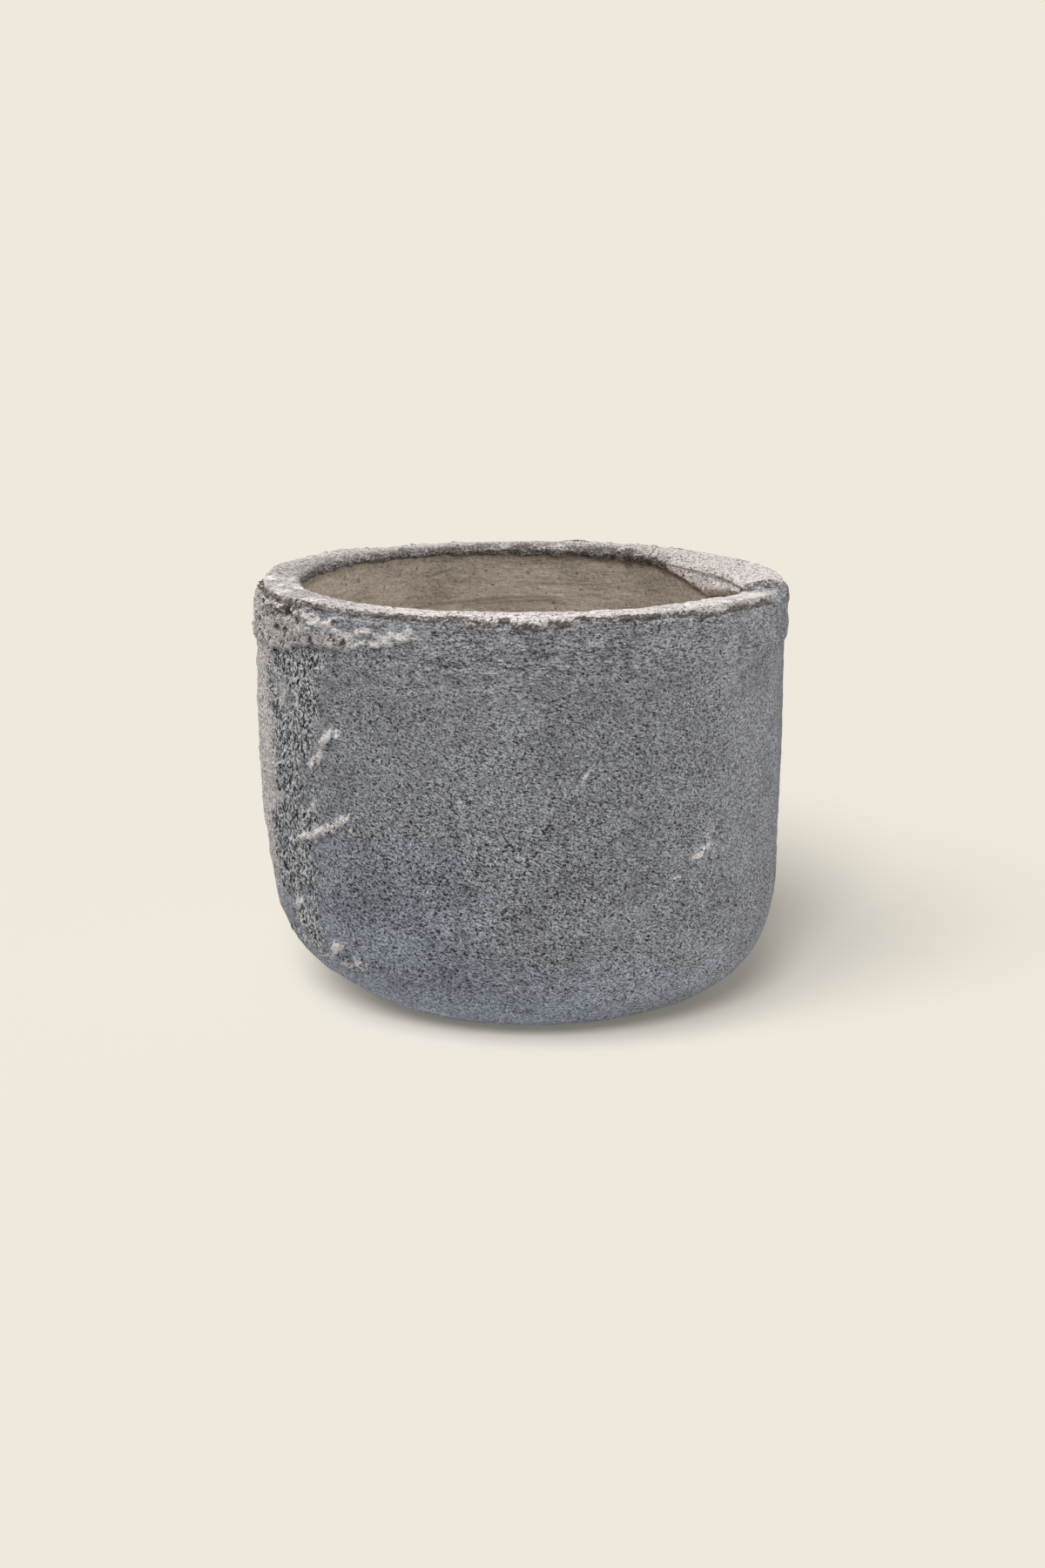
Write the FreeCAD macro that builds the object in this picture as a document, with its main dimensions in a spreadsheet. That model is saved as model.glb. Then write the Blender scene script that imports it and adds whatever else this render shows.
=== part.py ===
import FreeCAD, Part
import math
import os
import re
import Sketcher

# A hand-laid concrete planter, made of a coarse grey pot, a smooth tan cement
# coat inside, a drain with its bung, and rubber pads under the foot. Origin on
# the ground under the middle, +Z up.

# Driving sizes in millimetres, but for the count of the pads

SIZES = {
    # The pot's outside
    "outer_radius": 300,
    "rim_height": 475,
    "foot_set_in": 19,
    "foot_round": 142,
    "lip_round": 10,
    # The wall, from the outside to the smooth inner face
    "wall_thickness": 49,
    "inner_lip_round": 3,
    "coat_wrap": 12,
    "lining_thickness": 5,
    "inner_round": 100,
    # The floor
    "base_thickness": 40,
    "screed_thickness": 18,
    # The overlap in the rim, where the hand-laid mortar meets its own start
    "lap_depth": 8,
    "lap_length": 140,
    "lap_set_back": 50,
    "lap_overrun": 20,
    # Rubber pads under the foot
    "pad_count": 4,
    "pad_radius": 20,
    "pad_thickness": 5,
    "pad_recess": 2,
    "pad_edge_round": 1.5,
    "pad_margin": 10,
    # Drain sleeve cast into the floor
    "drain_radius": 17,
    "sleeve_wall": 3,
    "flange_width": 12,
    "flange_thickness": 3,
    "sleeve_mouth_round": 1,
    "sump_edge_round": 3,
    # Rubber bung in the drain
    "plug_clearance": 0.3,
    "plug_taper": 2.2,
    "plug_length": 28,
    "head_margin": 4,
    "head_thickness": 4,
    "head_edge_round": 1.5,
    "grip_length": 24,
    "grip_thickness": 6,
    "grip_round": 5,
    "grip_sunk": 1,
}

doc = FreeCAD.newDocument("concrete_planter")
sheet = doc.addObject("Spreadsheet::Sheet", "sizes")
for row, (alias, value) in enumerate(SIZES.items(), start=1):
    sheet.set(f"A{row}", alias)
    sheet.set(f"B{row}", str(value))
    sheet.setAlias(f"B{row}", alias)
doc.recompute()

# Levels and radii that several pieces share, as formulas on the driving sizes

UNDERSIDE = "(pad_thickness - pad_recess)"
BASE_TOP = f"({UNDERSIDE} + base_thickness)"
FLOOR = f"({BASE_TOP} + screed_thickness)"
LEAN_SHARE = f"(foot_set_in / (rim_height - {UNDERSIDE}))"
WRAP_END = "(rim_height - coat_wrap)"
SLEEVE_RADIUS = "(drain_radius + sleeve_wall)"
FLANGE_RADIUS = f"({SLEEVE_RADIUS} + flange_width)"
SEAT = f"({BASE_TOP} + flange_thickness)"
HEAD_TOP = f"({SEAT} + head_thickness)"


def outside_at(level):
    """Radius of the straight outer wall, carried on down or up to a level."""
    return f"(outer_radius - (rim_height - {level}) * {LEAN_SHARE})"


def inside_at(level):
    """Radius of the straight inner face at a level."""
    return f"({outside_at(level)} - wall_thickness)"


PAN_RADIUS = f"({inside_at(FLOOR)} - inner_round)"
PAD_RING_RADIUS = f"({outside_at(UNDERSIDE)} - foot_round - pad_margin - pad_radius)"


def bound(formula):
    """The formula with each size name pointing at its cell."""
    return re.sub(r"\b[a-z_]+\b", lambda word: cell_or_word(word.group()), formula)


def cell_or_word(word):
    return f"sizes.{word}" if word in SIZES else word


def number(formula):
    """What a formula comes to with the present sizes."""
    value = sheet.evalExpression(bound(formula))
    return float(getattr(value, "Value", value))


# Sketch and feature helpers

ROLE_OF_PLANE = {"ground": "XY_Plane", "front": "XZ_Plane", "side": "YZ_Plane"}


def new_body(label):
    body = doc.addObject("PartDesign::Body", label)
    body.Label = label
    return body


def new_sketch(body, name, plane):
    """A sketch on one of the body's own origin planes."""
    sketch = body.newObject("Sketcher::SketchObject", name)
    role = ROLE_OF_PLANE[plane]
    support = [item for item in body.Origin.OriginFeatures if item.Role == role][0]
    sketch.AttachmentSupport = (support, [""])
    sketch.MapMode = "FlatFace"
    return sketch


def pin_point(sketch, geometry, end, across, up, name):
    """Fix one point at two formulas, measured from the sketch's origin."""
    for direction, axis, formula in (("DistanceX", -2, across), ("DistanceY", -1, up)):
        if formula == "0":
            sketch.addConstraint(Sketcher.Constraint("PointOnObject", geometry, end, axis))
            continue
        place = number(formula)
        index = sketch.addConstraint(
            Sketcher.Constraint(direction, -1, 1, geometry, end, place))
        constraint_name = f"{name}_{direction}"
        sketch.renameConstraint(index, constraint_name)
        sketch.setExpression(f"Constraints.{constraint_name}", bound(formula))


def rounded_corner(before, corner, after, radius):
    """Arc tangent to both runs at a corner, and the two points where it meets them."""
    to_before = (before - corner).normalize()
    to_after = (after - corner).normalize()
    half_angle = to_before.getAngle(to_after) / 2
    reach = radius / math.tan(half_angle)
    start = corner + to_before * reach
    end = corner + to_after * reach
    centre = corner + (to_before + to_after).normalize() * (radius / math.sin(half_angle))
    turn = math.pi - 2 * half_angle
    turns_left = (corner - before).cross(after - corner).z > 0
    first = start if turns_left else end
    first_angle = math.atan2(first.y - centre.y, first.x - centre.x)
    circle = Part.Circle(centre, FreeCAD.Vector(0, 0, 1), radius)
    return Part.ArcOfCircle(circle, first_angle, first_angle + turn), start, end


def draw_outline(sketch, corners):
    """A closed outline of straight runs, each corner (across, up) or (across, up, rounding)."""
    count = len(corners)
    places = [FreeCAD.Vector(number(c[0]), number(c[1]), 0) for c in corners]
    ends = [(place, place) for place in places]
    arcs = {}
    for i, corner in enumerate(corners):
        if len(corner) == 3:
            arc, start, end = rounded_corner(
                places[i - 1], places[i], places[(i + 1) % count], number(corner[2]))
            ends[i] = (start, end)
            arcs[i] = arc
    runs = []
    for i in range(count):
        line = Part.LineSegment(ends[i][1], ends[(i + 1) % count][0])
        runs.append(sketch.addGeometry(line, False))
    for i, corner in enumerate(corners):
        run_in, run_out = runs[i - 1], runs[i]
        if i in arcs:
            point = round_between(sketch, run_in, run_out, arcs[i], places[i])
            pin_point(sketch, point, 1, corner[0], corner[1], f"corner_{i}")
            radius = sketch.addConstraint(
                Sketcher.Constraint("Radius", point - 1, number(corner[2])))
            sketch.renameConstraint(radius, f"rounding_{i}")
            sketch.setExpression(f"Constraints.rounding_{i}", bound(corner[2]))
        else:
            sketch.addConstraint(Sketcher.Constraint("Coincident", run_in, 2, run_out, 1))
            pin_point(sketch, run_out, 1, corner[0], corner[1], f"corner_{i}")


def round_between(sketch, run_in, run_out, arc, corner_place):
    """Add the arc of a rounded corner and the construction point of the sharp one."""
    arc_index = sketch.addGeometry(arc, False)
    added = sketch.Geometry[arc_index]
    starts_at_run_in = added.StartPoint.isEqual(sketch.Geometry[run_in].EndPoint, 1e-6)
    first, last = (1, 2) if starts_at_run_in else (2, 1)
    sketch.addConstraint(Sketcher.Constraint("Tangent", run_in, 2, arc_index, first))
    sketch.addConstraint(Sketcher.Constraint("Tangent", arc_index, last, run_out, 1))
    point_index = sketch.addGeometry(Part.Point(corner_place), True)
    sketch.addConstraint(Sketcher.Constraint("PointOnObject", point_index, 1, run_in))
    sketch.addConstraint(Sketcher.Constraint("PointOnObject", point_index, 1, run_out))
    return point_index


def turned_body(label, corners):
    """A body of revolution round the upright axis, from an outline of radius and height."""
    body = new_body(label)
    sketch = new_sketch(body, f"{label}_outline", "front")
    draw_outline(sketch, corners)
    turned = body.newObject("PartDesign::Revolution", f"{label}_turned")
    turned.Profile = sketch
    turned.ReferenceAxis = (sketch, ["V_Axis"])
    turned.Angle = 360
    doc.recompute()
    return body


def require_smaller(body, volume_before, name):
    """Stop if a pocket has taken nothing away, as one that points outwards does."""
    doc.recompute()
    if not body.Shape.Volume < volume_before:
        raise RuntimeError(f"{name} cuts nothing")


# Coarse grey pot: the wall with its rounded foot, the rim and the wrap of the
# coat down the inside, a pan in the floor for the screed, and the drain's hole

concrete_shell = turned_body("concrete_shell", [
    (SLEEVE_RADIUS, UNDERSIDE),
    (outside_at(UNDERSIDE), UNDERSIDE, "foot_round"),
    ("outer_radius", "rim_height", "lip_round"),
    (inside_at("rim_height"), "rim_height", "inner_lip_round"),
    (inside_at(WRAP_END), WRAP_END),
    (f"{inside_at(WRAP_END)} + lining_thickness", WRAP_END),
    (f"{inside_at(FLOOR)} + lining_thickness", f"{FLOOR} - lining_thickness",
     "inner_round + lining_thickness"),
    (PAN_RADIUS, f"{FLOOR} - lining_thickness"),
    (PAN_RADIUS, BASE_TOP),
    (SLEEVE_RADIUS, BASE_TOP),
])

# Recesses that hold the rubber pads
solid_volume = concrete_shell.Shape.Volume
pad_recess_sketch = new_sketch(concrete_shell, "pad_recess_circle", "ground")
recess_circle = pad_recess_sketch.addGeometry(
    Part.Circle(FreeCAD.Vector(number(PAD_RING_RADIUS), 0, 0), FreeCAD.Vector(0, 0, 1),
                number("pad_radius")), False)
pin_point(pad_recess_sketch, recess_circle, 3, PAD_RING_RADIUS, "0", "recess_centre")
recess_radius = pad_recess_sketch.addConstraint(
    Sketcher.Constraint("Radius", recess_circle, number("pad_radius")))
pad_recess_sketch.setExpression(f"Constraints[{recess_radius}]", bound("pad_radius"))
pad_recess = concrete_shell.newObject("PartDesign::Pocket", "pad_recess")
pad_recess.Profile = pad_recess_sketch
pad_recess.Reversed = True
pad_recess.setExpression("Length", bound("pad_thickness"))
require_smaller(concrete_shell, solid_volume, "pad_recess")
pad_recesses = concrete_shell.newObject("PartDesign::PolarPattern", "pad_recesses")
pad_recesses.Originals = [pad_recess]
pad_recesses.Axis = (pad_recess_sketch, ["N_Axis"])
pad_recesses.Angle = 360
pad_recesses.setExpression("Occurrences", bound("pad_count"))
concrete_shell.Tip = pad_recesses
doc.recompute()

# The rim dips in front of the overlap and rises back to level along the rim
solid_volume = concrete_shell.Shape.Volume
lap_sketch = new_sketch(concrete_shell, "lap_dip", "side")
draw_outline(lap_sketch, [
    ("-lap_set_back", "rim_height + lap_overrun"),
    ("-lap_set_back", "rim_height - lap_depth"),
    ("-lap_set_back - lap_length", "rim_height"),
    ("-lap_set_back - lap_length", "rim_height + lap_overrun"),
])
lap_dip = concrete_shell.newObject("PartDesign::Pocket", "rim_lap")
lap_dip.Profile = lap_sketch
lap_dip.Reversed = True
lap_dip.setExpression("Length", bound("outer_radius + lap_overrun"))
concrete_shell.Tip = lap_dip
require_smaller(concrete_shell, solid_volume, "rim_lap")

# Smooth tan cement on the inner wall, and the screed that fills the pan

wall_lining = turned_body("wall_lining", [
    (PAN_RADIUS, f"{FLOOR} - lining_thickness"),
    (f"{inside_at(FLOOR)} + lining_thickness", f"{FLOOR} - lining_thickness",
     "inner_round + lining_thickness"),
    (f"{inside_at(WRAP_END)} + lining_thickness", WRAP_END),
    (inside_at(WRAP_END), WRAP_END),
    (inside_at(FLOOR), FLOOR, "inner_round"),
    (PAN_RADIUS, FLOOR),
])

floor_screed = turned_body("floor_screed", [
    (FLANGE_RADIUS, BASE_TOP),
    (PAN_RADIUS, BASE_TOP),
    (PAN_RADIUS, FLOOR),
    (FLANGE_RADIUS, FLOOR, "sump_edge_round"),
])

# Drain sleeve, whose flange lies on the pot's floor at the bottom of the sump

drain_sleeve = turned_body("drain_sleeve", [
    ("drain_radius", UNDERSIDE),
    (SLEEVE_RADIUS, UNDERSIDE),
    (SLEEVE_RADIUS, BASE_TOP),
    (FLANGE_RADIUS, BASE_TOP),
    (FLANGE_RADIUS, SEAT),
    ("drain_radius", SEAT, "sleeve_mouth_round"),
])

# Bung: a tapered shank, a head that seats on the flange and an upright grip

drain_plug = turned_body("drain_plug", [
    ("0", f"{SEAT} - plug_length"),
    ("drain_radius - plug_clearance - plug_taper", f"{SEAT} - plug_length", "head_edge_round"),
    ("drain_radius - plug_clearance", f"{SEAT} - sleeve_mouth_round"),
    ("drain_radius - plug_clearance", SEAT),
    (f"{FLANGE_RADIUS} - head_margin", SEAT),
    (f"{FLANGE_RADIUS} - head_margin", HEAD_TOP, "head_edge_round"),
    ("0", HEAD_TOP),
])
grip_sketch = new_sketch(drain_plug, "grip_outline", "front")
draw_outline(grip_sketch, [
    ("-grip_length / 2", SEAT),
    ("grip_length / 2", SEAT),
    ("grip_length / 2", f"{FLOOR} - grip_sunk", "grip_round"),
    ("-grip_length / 2", f"{FLOOR} - grip_sunk", "grip_round"),
])
grip = drain_plug.newObject("PartDesign::Pad", "grip")
grip.Profile = grip_sketch
grip.Midplane = True
grip.setExpression("Length", bound("grip_thickness"))
drain_plug.Tip = grip
doc.recompute()

# Rubber pads, pressed into their recesses and standing proud of the underside

pads = []
for i in range(int(number("pad_count"))):
    pad = turned_body(f"foot_pad_{i + 1}", [
        ("0", "0"),
        ("pad_radius", "0", "pad_edge_round"),
        ("pad_radius", "pad_thickness"),
        ("0", "pad_thickness"),
    ])
    turn = f"{i} * 360 deg / pad_count"
    pad.setExpression("Placement.Base.x", bound(f"{PAD_RING_RADIUS} * cos({turn})"))
    pad.setExpression("Placement.Base.y", bound(f"{PAD_RING_RADIUS} * sin({turn})"))
    pads.append(pad)
doc.recompute()

sub_parts = [concrete_shell, wall_lining, floor_screed, drain_sleeve, drain_plug] + pads

# Nothing is written unless every feature is sound and each piece is one solid

for item in doc.Objects:
    if "Invalid" in item.State or "Error" in item.State:
        raise RuntimeError(f"{item.Label} failed: {item.State}")
for piece in sub_parts:
    shape = piece.Shape
    if shape.isNull() or not shape.isValid() or len(shape.Solids) != 1:
        raise RuntimeError(f"{piece.Label} isn't one sound solid")

os.makedirs("parts", exist_ok=True)
for piece in sub_parts:
    piece.Shape.exportStep(f"parts/{piece.Label}.step")
    box = piece.Shape.optimalBoundingBox()
    print(f"{piece.Label}: {piece.Shape.Volume / 1000:.1f} cm3, "
          f"{box.XLength:.1f} x {box.YLength:.1f} x {box.ZLength:.1f} mm")
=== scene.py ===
# %% [markdown]
# A round planter of thick, hand-laid concrete. Its grey outer coat is coarse,
# wraps over the flat rim and ends a finger's width down the inside, where a
# smooth tan coat goes on. A drain with a rubber bung sits in the floor, and
# rubber pads lie under the foot. The frame brings every CAD piece in its place,
# in metres, with +Z up and the viewer on the -Y side.

# %% Load the frame
import math
import bpy
import numpy as np
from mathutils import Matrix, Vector, noise


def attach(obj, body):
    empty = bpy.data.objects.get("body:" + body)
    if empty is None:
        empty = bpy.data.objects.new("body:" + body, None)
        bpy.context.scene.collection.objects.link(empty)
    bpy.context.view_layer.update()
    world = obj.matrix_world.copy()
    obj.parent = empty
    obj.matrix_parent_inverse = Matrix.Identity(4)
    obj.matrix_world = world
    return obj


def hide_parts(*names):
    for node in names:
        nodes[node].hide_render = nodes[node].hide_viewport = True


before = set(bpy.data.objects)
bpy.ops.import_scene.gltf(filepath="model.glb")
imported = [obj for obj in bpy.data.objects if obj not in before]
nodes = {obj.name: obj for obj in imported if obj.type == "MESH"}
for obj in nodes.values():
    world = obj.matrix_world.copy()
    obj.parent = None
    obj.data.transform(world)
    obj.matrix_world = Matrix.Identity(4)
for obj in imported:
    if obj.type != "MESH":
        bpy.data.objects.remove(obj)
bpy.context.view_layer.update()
print("CAD nodes:", sorted(nodes))

# %% [markdown]
# The pot is a body of revolution, so a few levels and radii describe it. They
# are the CAD's own. The wall leans outwards a little towards the rim.

# %% Sizes of the pot
RIM_HEIGHT = 0.475
OUTER_RADIUS = 0.3
UNDERSIDE = 0.003
FOOT_SET_IN = 0.019
FOOT_ROUND = 0.142
LIP_ROUND = 0.01
INNER_LIP_ROUND = 0.003
WALL_THICKNESS = 0.049
LINING_THICKNESS = 0.005
INNER_ROUND = 0.1
BASE_TOP = 0.043
FLOOR_LEVEL = 0.061
WRAP_END = 0.463
SLEEVE_RADIUS = 0.02
FLANGE_RADIUS = 0.032
LEAN = FOOT_SET_IN / (RIM_HEIGHT - UNDERSIDE)
LEAN_DEGREES = math.degrees(math.atan(LEAN))


def outside_at(level):
    """Radius of the outer wall at a level."""
    return OUTER_RADIUS - (RIM_HEIGHT - level) * LEAN


def inside_at(level):
    """Radius of the smooth inner face at a level."""
    return outside_at(level) - WALL_THICKNESS


# %% [markdown]
# A Screw modifier without any rise turns a flat outline into a round body, as a
# potter's wheel does. An outline is a list of (radius, level) points, in short
# steps, because the lumps and ridges that come later need points to move.

# %% Helpers for outlines
def run(start, end, spacing):
    """Points on a straight run, about spacing apart, without its last point."""
    steps = max(1, round(math.dist(start, end) / spacing))
    return [(start[0] + (end[0] - start[0]) * i / steps, start[1] + (end[1] - start[1]) * i / steps)
            for i in range(steps)]


def arc(centre, radius, first, last, steps):
    """Points on an arc between two angles in degrees, without its last point."""
    angles = [math.radians(first + (last - first) * i / steps) for i in range(steps)]
    return [(centre[0] + radius * math.cos(a), centre[1] + radius * math.sin(a)) for a in angles]


def new_plane(name, size):
    """A level square at the middle."""
    bpy.ops.object.select_all(action="DESELECT")
    bpy.ops.mesh.primitive_plane_add(size=size)
    bpy.context.object.name = name
    return bpy.context.object


def spin_outline(name, outline, steps):
    """Draw a closed outline by extruding one point, and turn it round the upright axis."""
    piece = new_plane(name, 0.001)
    bpy.ops.object.mode_set(mode="EDIT")
    bpy.ops.mesh.select_all(action="SELECT")
    bpy.ops.mesh.merge(type="CENTER")
    bpy.ops.transform.translate(value=(outline[0][0], 0, outline[0][1]))
    for here, there in zip(outline, outline[1:] + outline[:1]):
        step = (there[0] - here[0], 0, there[1] - here[1])
        bpy.ops.mesh.extrude_region_move(TRANSFORM_OT_translate={"value": step})
    bpy.ops.mesh.select_all(action="SELECT")
    bpy.ops.mesh.remove_doubles(threshold=1e-6)
    bpy.ops.object.mode_set(mode="OBJECT")
    bpy.ops.object.modifier_add(type="SCREW")
    turning = piece.modifiers[-1]
    turning.steps = turning.render_steps = steps
    turning.use_merge_vertices = True
    bpy.ops.object.modifier_apply(modifier=turning.name)
    bpy.ops.object.mode_set(mode="EDIT")
    bpy.ops.mesh.select_all(action="SELECT")
    bpy.ops.mesh.remove_doubles(threshold=1e-5)
    bpy.ops.mesh.normals_make_consistent(inside=False)
    bpy.ops.object.mode_set(mode="OBJECT")
    bpy.ops.object.shade_smooth()
    print(name, "has", len(piece.data.polygons), "faces")
    return piece


# %% [markdown]
# The outer pot's outline goes from the drain's hole along the underside, round
# the foot, up the wall, over the rim, down the inside to where the tan coat
# starts, and back behind that coat and under the floor. Steps are finest at the
# rim, where the photograph shows most.

# %% Outline of the outer pot
MIDDLE_LEVEL = 0.412
FINE_LEVEL = 0.452
WRAP_ROWS = 12
BACK_ROUND = INNER_ROUND + LINING_THICKNESS
PAN_RADIUS = inside_at(FLOOR_LEVEL) - INNER_ROUND


def outer_point(level):
    """The outer wall's point at a level."""
    return outside_at(level), level


def inner_point(level, behind=0):
    """The inner face's point at a level, or one so far behind it."""
    return inside_at(level) + behind, level


def round_centre(beside, radius):
    """Centre of a round that touches the leaning face, level with one of the face's points.
    A round with a minus radius lies on the other side of the face."""
    return beside[0] - radius * math.hypot(1, LEAN), beside[1]


def touching_point(centre, radius):
    """Where such a round touches the face."""
    return (centre[0] + radius * math.cos(math.atan(LEAN)),
            centre[1] - radius * math.sin(math.atan(LEAN)))


def in_one_row(parts):
    """An outline's points in one list, and the name of each point's part."""
    return ([point for part in parts.values() for point in part],
            [name for name, part in parts.items() for point in part])


FOOT_CENTRE = round_centre(outer_point(UNDERSIDE + FOOT_ROUND), FOOT_ROUND)
LIP_CENTRE = round_centre(outer_point(RIM_HEIGHT - LIP_ROUND), LIP_ROUND)
INNER_LIP_CENTRE = round_centre(inner_point(RIM_HEIGHT - INNER_LIP_ROUND), -INNER_LIP_ROUND)
INNER_CENTRE = round_centre(inner_point(FLOOR_LEVEL + INNER_ROUND), INNER_ROUND)
wall_start = touching_point(FOOT_CENTRE, FOOT_ROUND)
middle_start = outer_point(MIDDLE_LEVEL)
fine_start = outer_point(FINE_LEVEL)
lip_start = touching_point(LIP_CENTRE, LIP_ROUND)
wrap_start = touching_point(INNER_LIP_CENTRE, -INNER_LIP_ROUND)
wrap_end = inner_point(WRAP_END)
back_turn = touching_point(INNER_CENTRE, BACK_ROUND)

pot_outline, pot_part_of_row = in_one_row({
    "under": run((SLEEVE_RADIUS, UNDERSIDE), (FOOT_CENTRE[0], UNDERSIDE), 0.016),
    "foot": arc(FOOT_CENTRE, FOOT_ROUND, -90, -LEAN_DEGREES, 40),
    "wall": (run(wall_start, middle_start, 0.0038) + run(middle_start, fine_start, 0.0026)
             + run(fine_start, lip_start, 0.0014)),
    "lip": arc(LIP_CENTRE, LIP_ROUND, -LEAN_DEGREES, 90, 12),
    "top": run((LIP_CENTRE[0], RIM_HEIGHT), (INNER_LIP_CENTRE[0], RIM_HEIGHT), 0.0019),
    "inner_lip": arc(INNER_LIP_CENTRE, INNER_LIP_ROUND, 90, 180 - LEAN_DEGREES, 4),
    "wrap": run(wrap_start, wrap_end, math.dist(wrap_start, wrap_end) / WRAP_ROWS) + [wrap_end],
    "back": (run(inner_point(WRAP_END, LINING_THICKNESS), back_turn, 0.1)
             + arc(INNER_CENTRE, BACK_ROUND, -LEAN_DEGREES, -90, 6)),
    "pan": [(PAN_RADIUS, FLOOR_LEVEL - LINING_THICKNESS), (PAN_RADIUS, BASE_TOP),
            (SLEEVE_RADIUS, BASE_TOP)],
})

# %% Spin the outer pot
POT_STEPS = 490
pot = spin_outline("outer_pot", pot_outline, POT_STEPS)

# %% [markdown]
# Nothing on a hand-laid pot is exactly round, so its points are now moved in
# code. Each is known by its turn round the pot in degrees from +X, its level,
# and the outline row that it came from, which gives the way out of the surface.

# %% Helpers that read and move points
def read_points(piece):
    """A mesh's points as an array."""
    flat = np.empty(len(piece.data.vertices) * 3)
    piece.data.vertices.foreach_get("co", flat)
    return flat.reshape(-1, 3)


def turn_of(points):
    """How far round each point sits, in degrees."""
    return np.degrees(np.arctan2(points[:, 1], points[:, 0]))


def radius_of(points):
    """How far each point is from the upright axis."""
    return np.hypot(points[:, 0], points[:, 1])


def row_of_points(points, outline):
    """For each point, the number of the outline row it was turned from."""
    radius = radius_of(points)
    best = np.full(len(points), np.inf)
    row = np.zeros(len(points), dtype=int)
    for i, (r, z) in enumerate(outline):
        distance = (radius - r) ** 2 + (points[:, 2] - z) ** 2
        closer = distance < best
        best[closer] = distance[closer]
        row[closer] = i
    return row


def outward_ways(outline):
    """The way out of the surface at each row, as (along the radius, upwards)."""
    line = np.array(outline)
    along = np.roll(line, -1, axis=0) - np.roll(line, 1, axis=0)
    ways = np.stack([along[:, 1], -along[:, 0]], axis=1)
    return ways / np.linalg.norm(ways, axis=1)[:, None]


def origin_of(points, outline, part_of_row):
    """Each point's part of the outline, and its way out of the surface."""
    row = row_of_points(points, outline)
    return np.array(part_of_row)[row], outward_ways(outline)[row]


def put_points(piece, turn, radius, level):
    """Move a mesh's points to new places, given round the upright axis."""
    angle = np.radians(turn)
    places = np.stack([radius * np.cos(angle), radius * np.sin(angle), level], axis=1)
    piece.data.vertices.foreach_set("co", places.ravel())
    piece.data.update()


# %% [markdown]
# Two kinds of working cover this pot: lumps, which are smooth noise of a given
# size, and marks, which are ridges or grooves along short lines, with a height
# that falls off smoothly to each side.

# %% Helpers for lumps, marks and soft steps
def lumps(points, size, seed):
    """Smooth noise from about -1 to 1, in lumps of about the given size."""
    shift = Vector((seed * 7.31, seed * 3.17, seed * 5.73))
    return np.array([noise.noise(Vector(point) / size + shift) for point in points])


def round_lumps(turn, size, seed):
    """Lumps that only change along the way round, so that every level has the same."""
    columns, column_of_point = np.unique(np.round(turn, 3), return_inverse=True)
    angle = np.radians(columns)
    ring = np.stack([np.cos(angle), np.sin(angle), np.zeros(len(angle))], axis=1) * OUTER_RADIUS
    return lumps(ring, size, seed)[column_of_point]


def soft_step(value, start, end):
    """0 up to start, 1 from end on, and smooth between. The end may be the lower one."""
    share = np.clip((value - start) / (end - start), 0, 1)
    return share * share * (3 - 2 * share)


def away(turn, middle):
    """Degrees from one turn to another, from -180 to 180."""
    return (turn - middle + 180) % 360 - 180


def along_side(turn, first, last, fade):
    """1 between two turns, fading to 0 over some degrees outside them."""
    middle = (first + last) / 2
    half = (last - first) / 2
    return soft_step(np.abs(away(turn, middle)), half + fade, half)


def near_line(turn, level, line, half_width, radius=0.29):
    """1 on a line of (turn, level) points, falling to 0 at half its width. Levels and the
    width are in millimetres."""
    closest = np.full(len(turn), np.inf)
    for (turn_a, level_a), (turn_b, level_b) in zip(line, line[1:]):
        across_b = math.radians(turn_b - turn_a) * radius
        up_b = (level_b - level_a) / 1000
        across = np.radians(away(turn, turn_a)) * radius
        up = level - level_a / 1000
        share = np.clip((across * across_b + up * up_b) / (across_b ** 2 + up_b ** 2), 0, 1)
        distance = np.hypot(across - share * across_b, up - share * up_b)
        closest = np.minimum(closest, distance)
    return soft_step(closest, half_width / 1000, 0)


# %% [markdown]
# The marks lie on the front, left and right, so the columns of points there are
# brought closer together, at the cost of the back, with its even grain.

# %% Read the pot's points and crowd their columns
CROWDED = (-178, 58)
CROWD_RATIO = 2.5


def crowd_columns(turn, first, last, ratio):
    """Bring evenly spaced columns closer together between two turns."""
    grid = np.linspace(-180, 180, 721)
    density = 1 + (ratio - 1) * along_side(grid, first, last, 15)
    reached = np.concatenate([[0], np.cumsum((density[1:] + density[:-1]) / 2)])
    return np.interp(turn, reached / reached[-1] * 360 - 180, grid)


even_points = read_points(pot)
pot_part, way_out = origin_of(even_points, pot_outline, pot_part_of_row)
pot_turn = crowd_columns(turn_of(even_points), *CROWDED, CROWD_RATIO)
pot_radius = radius_of(even_points)
pot_level = even_points[:, 2].copy()
put_points(pot, pot_turn, pot_radius, pot_level)
pot_points = read_points(pot)
pot_back = pot_points[:, 1]
is_outer = np.isin(pot_part, ["foot", "wall", "lip"])
is_wrap = pot_part == "wrap"
is_rim = np.isin(pot_part, ["lip", "top", "inner_lip", "wrap"])
is_inner_rim = np.isin(pot_part, ["top", "inner_lip", "wrap"])
is_worked = is_outer | is_rim
out = np.zeros(len(pot_points))

# %% [markdown]
# The pot swells unevenly. On the left the wall is fuller at half height and the
# foot is drawn in. On the right the upper wall is drawn in and the foot is
# fuller. Two tables of offsets by level, in millimetres, carry that, and each
# fades round to the front and back.

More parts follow.
